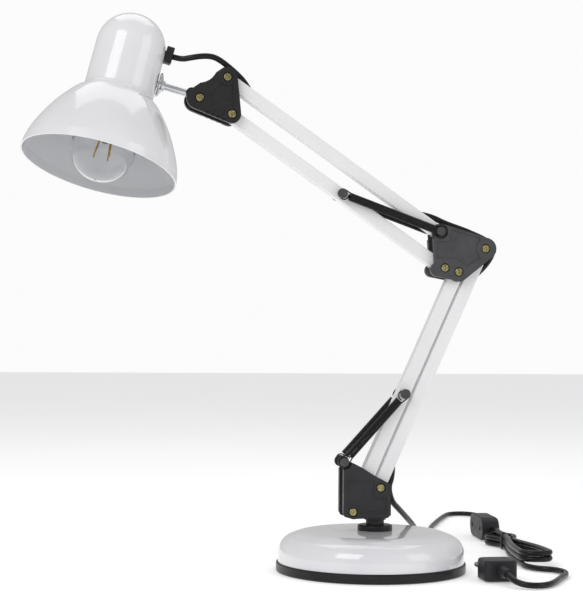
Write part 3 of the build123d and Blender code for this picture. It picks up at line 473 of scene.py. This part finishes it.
def splitCord(route, parts, cuts):
    # Cuts one smooth cord into tubes at the given points, one piece for each joint that it crosses.
    line = splineLine(metres(route))
    step = np.linalg.norm(np.diff(line, axis=0), axis=1)
    run = np.concatenate([[0], np.cumsum(step)])
    fine = np.linspace(0, run[-1], max(60, int(run[-1] / (1.2 * mm))))
    line = np.stack([np.interp(fine, run, line[:, k]) for k in range(3)], 1)
    marks = [0] + [int(np.argmin(np.linalg.norm(line - metres(cut),
                                                axis=1))) for cut in cuts] + [len(line) - 1]
    for part, first, last in zip(parts, marks, marks[1:]):
        piece = tube(part["name"], line[first:last + 1], cordWidth / 2 * mm, "cordSheath")
        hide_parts(part["node"])
        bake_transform(piece)


splitCord(headRoute, [
    {"name": "head_cord_1", "node": "head_cord_front", "bodies": ("shade", "stem"), "from": 2, "to": -2},
    {"name": "head_cord_2", "node": "head_cord_rear", "bodies": ("stem", "head_bracket"), "from": 1,
     "to": -2},
    {"name": "head_cord_3", "node": "head_cord_end", "bodies": ("head_bracket", "top_bar"), "from": 1,
     "to": -14},
], [(-170.5, 0.6, 483.8), (-138.49, 0, 474.0)])
splitCord(elbowRoute, [
    {"name": "elbow_cord_1", "node": "elbow_cord_upper", "bodies": ("top_bar", "elbow"), "from": 14,
     "to": -4},
    {"name": "elbow_cord_2", "node": "elbow_cord_lower", "bodies": ("elbow", "rear_bar"), "from": 3,
     "to": -14},
], [(95.0, 0, 323.7)])
splitCord(footRoute, [
    {"name": "foot_cord_1", "node": "foot_cord", "bodies": ("rear_bar", "foot_bracket"), "from": 12,
     "to": -3},
], [])
print("joint cords made")


springSpec = {"wire": 1.2, "outer": 4.1, "lead": 8.0, "trail": 7.4, "pitch": 1.24, "perTurn": 18,
              "loop": 4.7}


def springLine(start, end, startPin, endPin, y, spec):
    # A wide hook caught on each pin, a short tail, then a close helix about the line between the pins.
    a, b = np.array((start[0], y, start[1])), np.array((end[0], y, end[1]))
    length = np.linalg.norm(b - a)
    along = (b - a) / length
    across = np.cross(along, (0.0, 1.0, 0.0))
    depth = np.array((0.0, 1.0, 0.0))
    coil = spec["outer"] - spec["wire"] / 2
    bodyFrom, bodyTo = spec["lead"], length - spec["trail"]
    turns = round((bodyTo - bodyFrom) / spec["pitch"])
    loop = spec["loop"]

    def place(s, u, v):
        return a + along * s[..., None] + across * u[..., None] + depth * v[..., None]

    def hook(pin, sweep):
        # the loop hangs on the pin's far side, so its centre sits towards the coil
        turn = np.radians(np.linspace(*sweep, 30))
        shift = loop - pin - spec["wire"] / 2 - 0.1
        return shift - loop * np.cos(turn), loop * np.sin(turn)

    sA, uA = hook(startPin, (-200, 120))
    sB, uB = hook(endPin, (120, -200))
    hookA, hookB = place(sA, uA, 0 * sA), place(length - sB, uB, 0 * sB)
    t = np.linspace(0, 1, 9)[1:-1]
    ease = t * t * (3 - 2 * t)
    leadA = place(sA[-1] + (bodyFrom - sA[-1]) * t, uA[-1] + (coil - uA[-1]) * ease, 0 * t)
    phase = np.linspace(0, 2 * np.pi * turns, turns * spec["perTurn"] + 1)
    body = place(bodyFrom + (bodyTo - bodyFrom) * phase / phase[-1], coil * np.cos(phase),
                 coil * np.sin(phase))
    firstB = length - sB[0]
    leadB = place(bodyTo + (firstB - bodyTo) * t, coil + (uB[0] - coil) * ease, 0 * t)
    return np.vstack([hookA, leadA, body, leadB, hookB]) * mm, a * mm, b * mm


springs = [
    ("lower", (29.816, 167.765), (-28.6, 103.6), 2.0, 2.0, ("front_bar", "foot_bracket")),
    ("upper", (-32.335, 357.037), (64.0, 323.0), 2.0, 2.5, ("bottom_bar", "elbow")),
]
for arm, start, end, startPin, endPin, bodies in springs:
    for word, y in (("near", -11.0), ("far", 11.0)):
        line, a, b = springLine(start, end, startPin, endPin, y, springSpec)
        piece = tube(f"{arm}_spring_{word}", line, springSpec["wire"] / 2 * mm, "springWire", 8)
        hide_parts(f"{arm}_springs")
        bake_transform(piece)
print("springs made")


def addFloor():
    data = bpy.data.meshes.new("floor")
    size, low = 9.0, -0.0004
    data.from_pydata([(-size, -size, low), (size, -size, low), (size, size, low), (-size, size, low)], [],
                     [(0, 1, 2, 3)])
    floor = bpy.data.objects.new("floor", data)
    scene.collection.objects.link(floor)
    material = finish("floorPaper", {"colour": "#f4f4f4", "mottle": "#f7f7f7", "mottleMm": 400,
                                     "rough": (0.75, 0.85), "grainMm": 3, "bump": 0.05})[0]
    shader = material.node_tree.nodes["Principled BSDF"]
    shader.inputs["Emission Color"].default_value = (1, 1, 1, 1)
    shader.inputs["Emission Strength"].default_value = 0.3
    data.materials.append(material)


def addLight(name, place, aim, size, power):
    data = bpy.data.lights.new(name, "AREA")
    data.shape = "RECTANGLE"
    data.size, data.size_y = size
    data.energy = power
    light = bpy.data.objects.new(name, data)
    scene.collection.objects.link(light)
    light.location = place
    light.rotation_euler = (Vector(aim) - Vector(place)).to_track_quat("-Z", "Y").to_euler()


addFloor()
for light in (("keyLight", (-1.6, -1.7, 1.9), (0, 0, 0.25), (1.5, 1.5), 22),
              ("fillLight", (1.8, -1.4, 1.1), (0, 0, 0.25), (1.2, 1.6), 7),
              ("topLight", (0.1, 0.7, 2.1), (0, 0, 0.2), (2.0, 1.2), 9)):
    addLight(*light)
world = bpy.data.worlds.new("studio")
world.use_nodes = True
backdrop = world.node_tree.nodes["Background"]
backdrop.inputs["Color"].default_value = (1, 1, 1, 1)
# the backdrop is brighter to the camera than as light on the object
seen = addNode(world.node_tree, "ShaderNodeLightPath").outputs["Is Camera Ray"]
strength = addNode(world.node_tree, "ShaderNodeMapRange", {"To Min": 0.52, "To Max": 0.97}, {"Value": seen})
world.node_tree.links.new(strength.outputs[0], backdrop.inputs["Strength"])
scene.world = world
# the plain transform keeps white enamel white and black nylon black
scene.view_settings.view_transform = "Standard"
print("floor and light set")
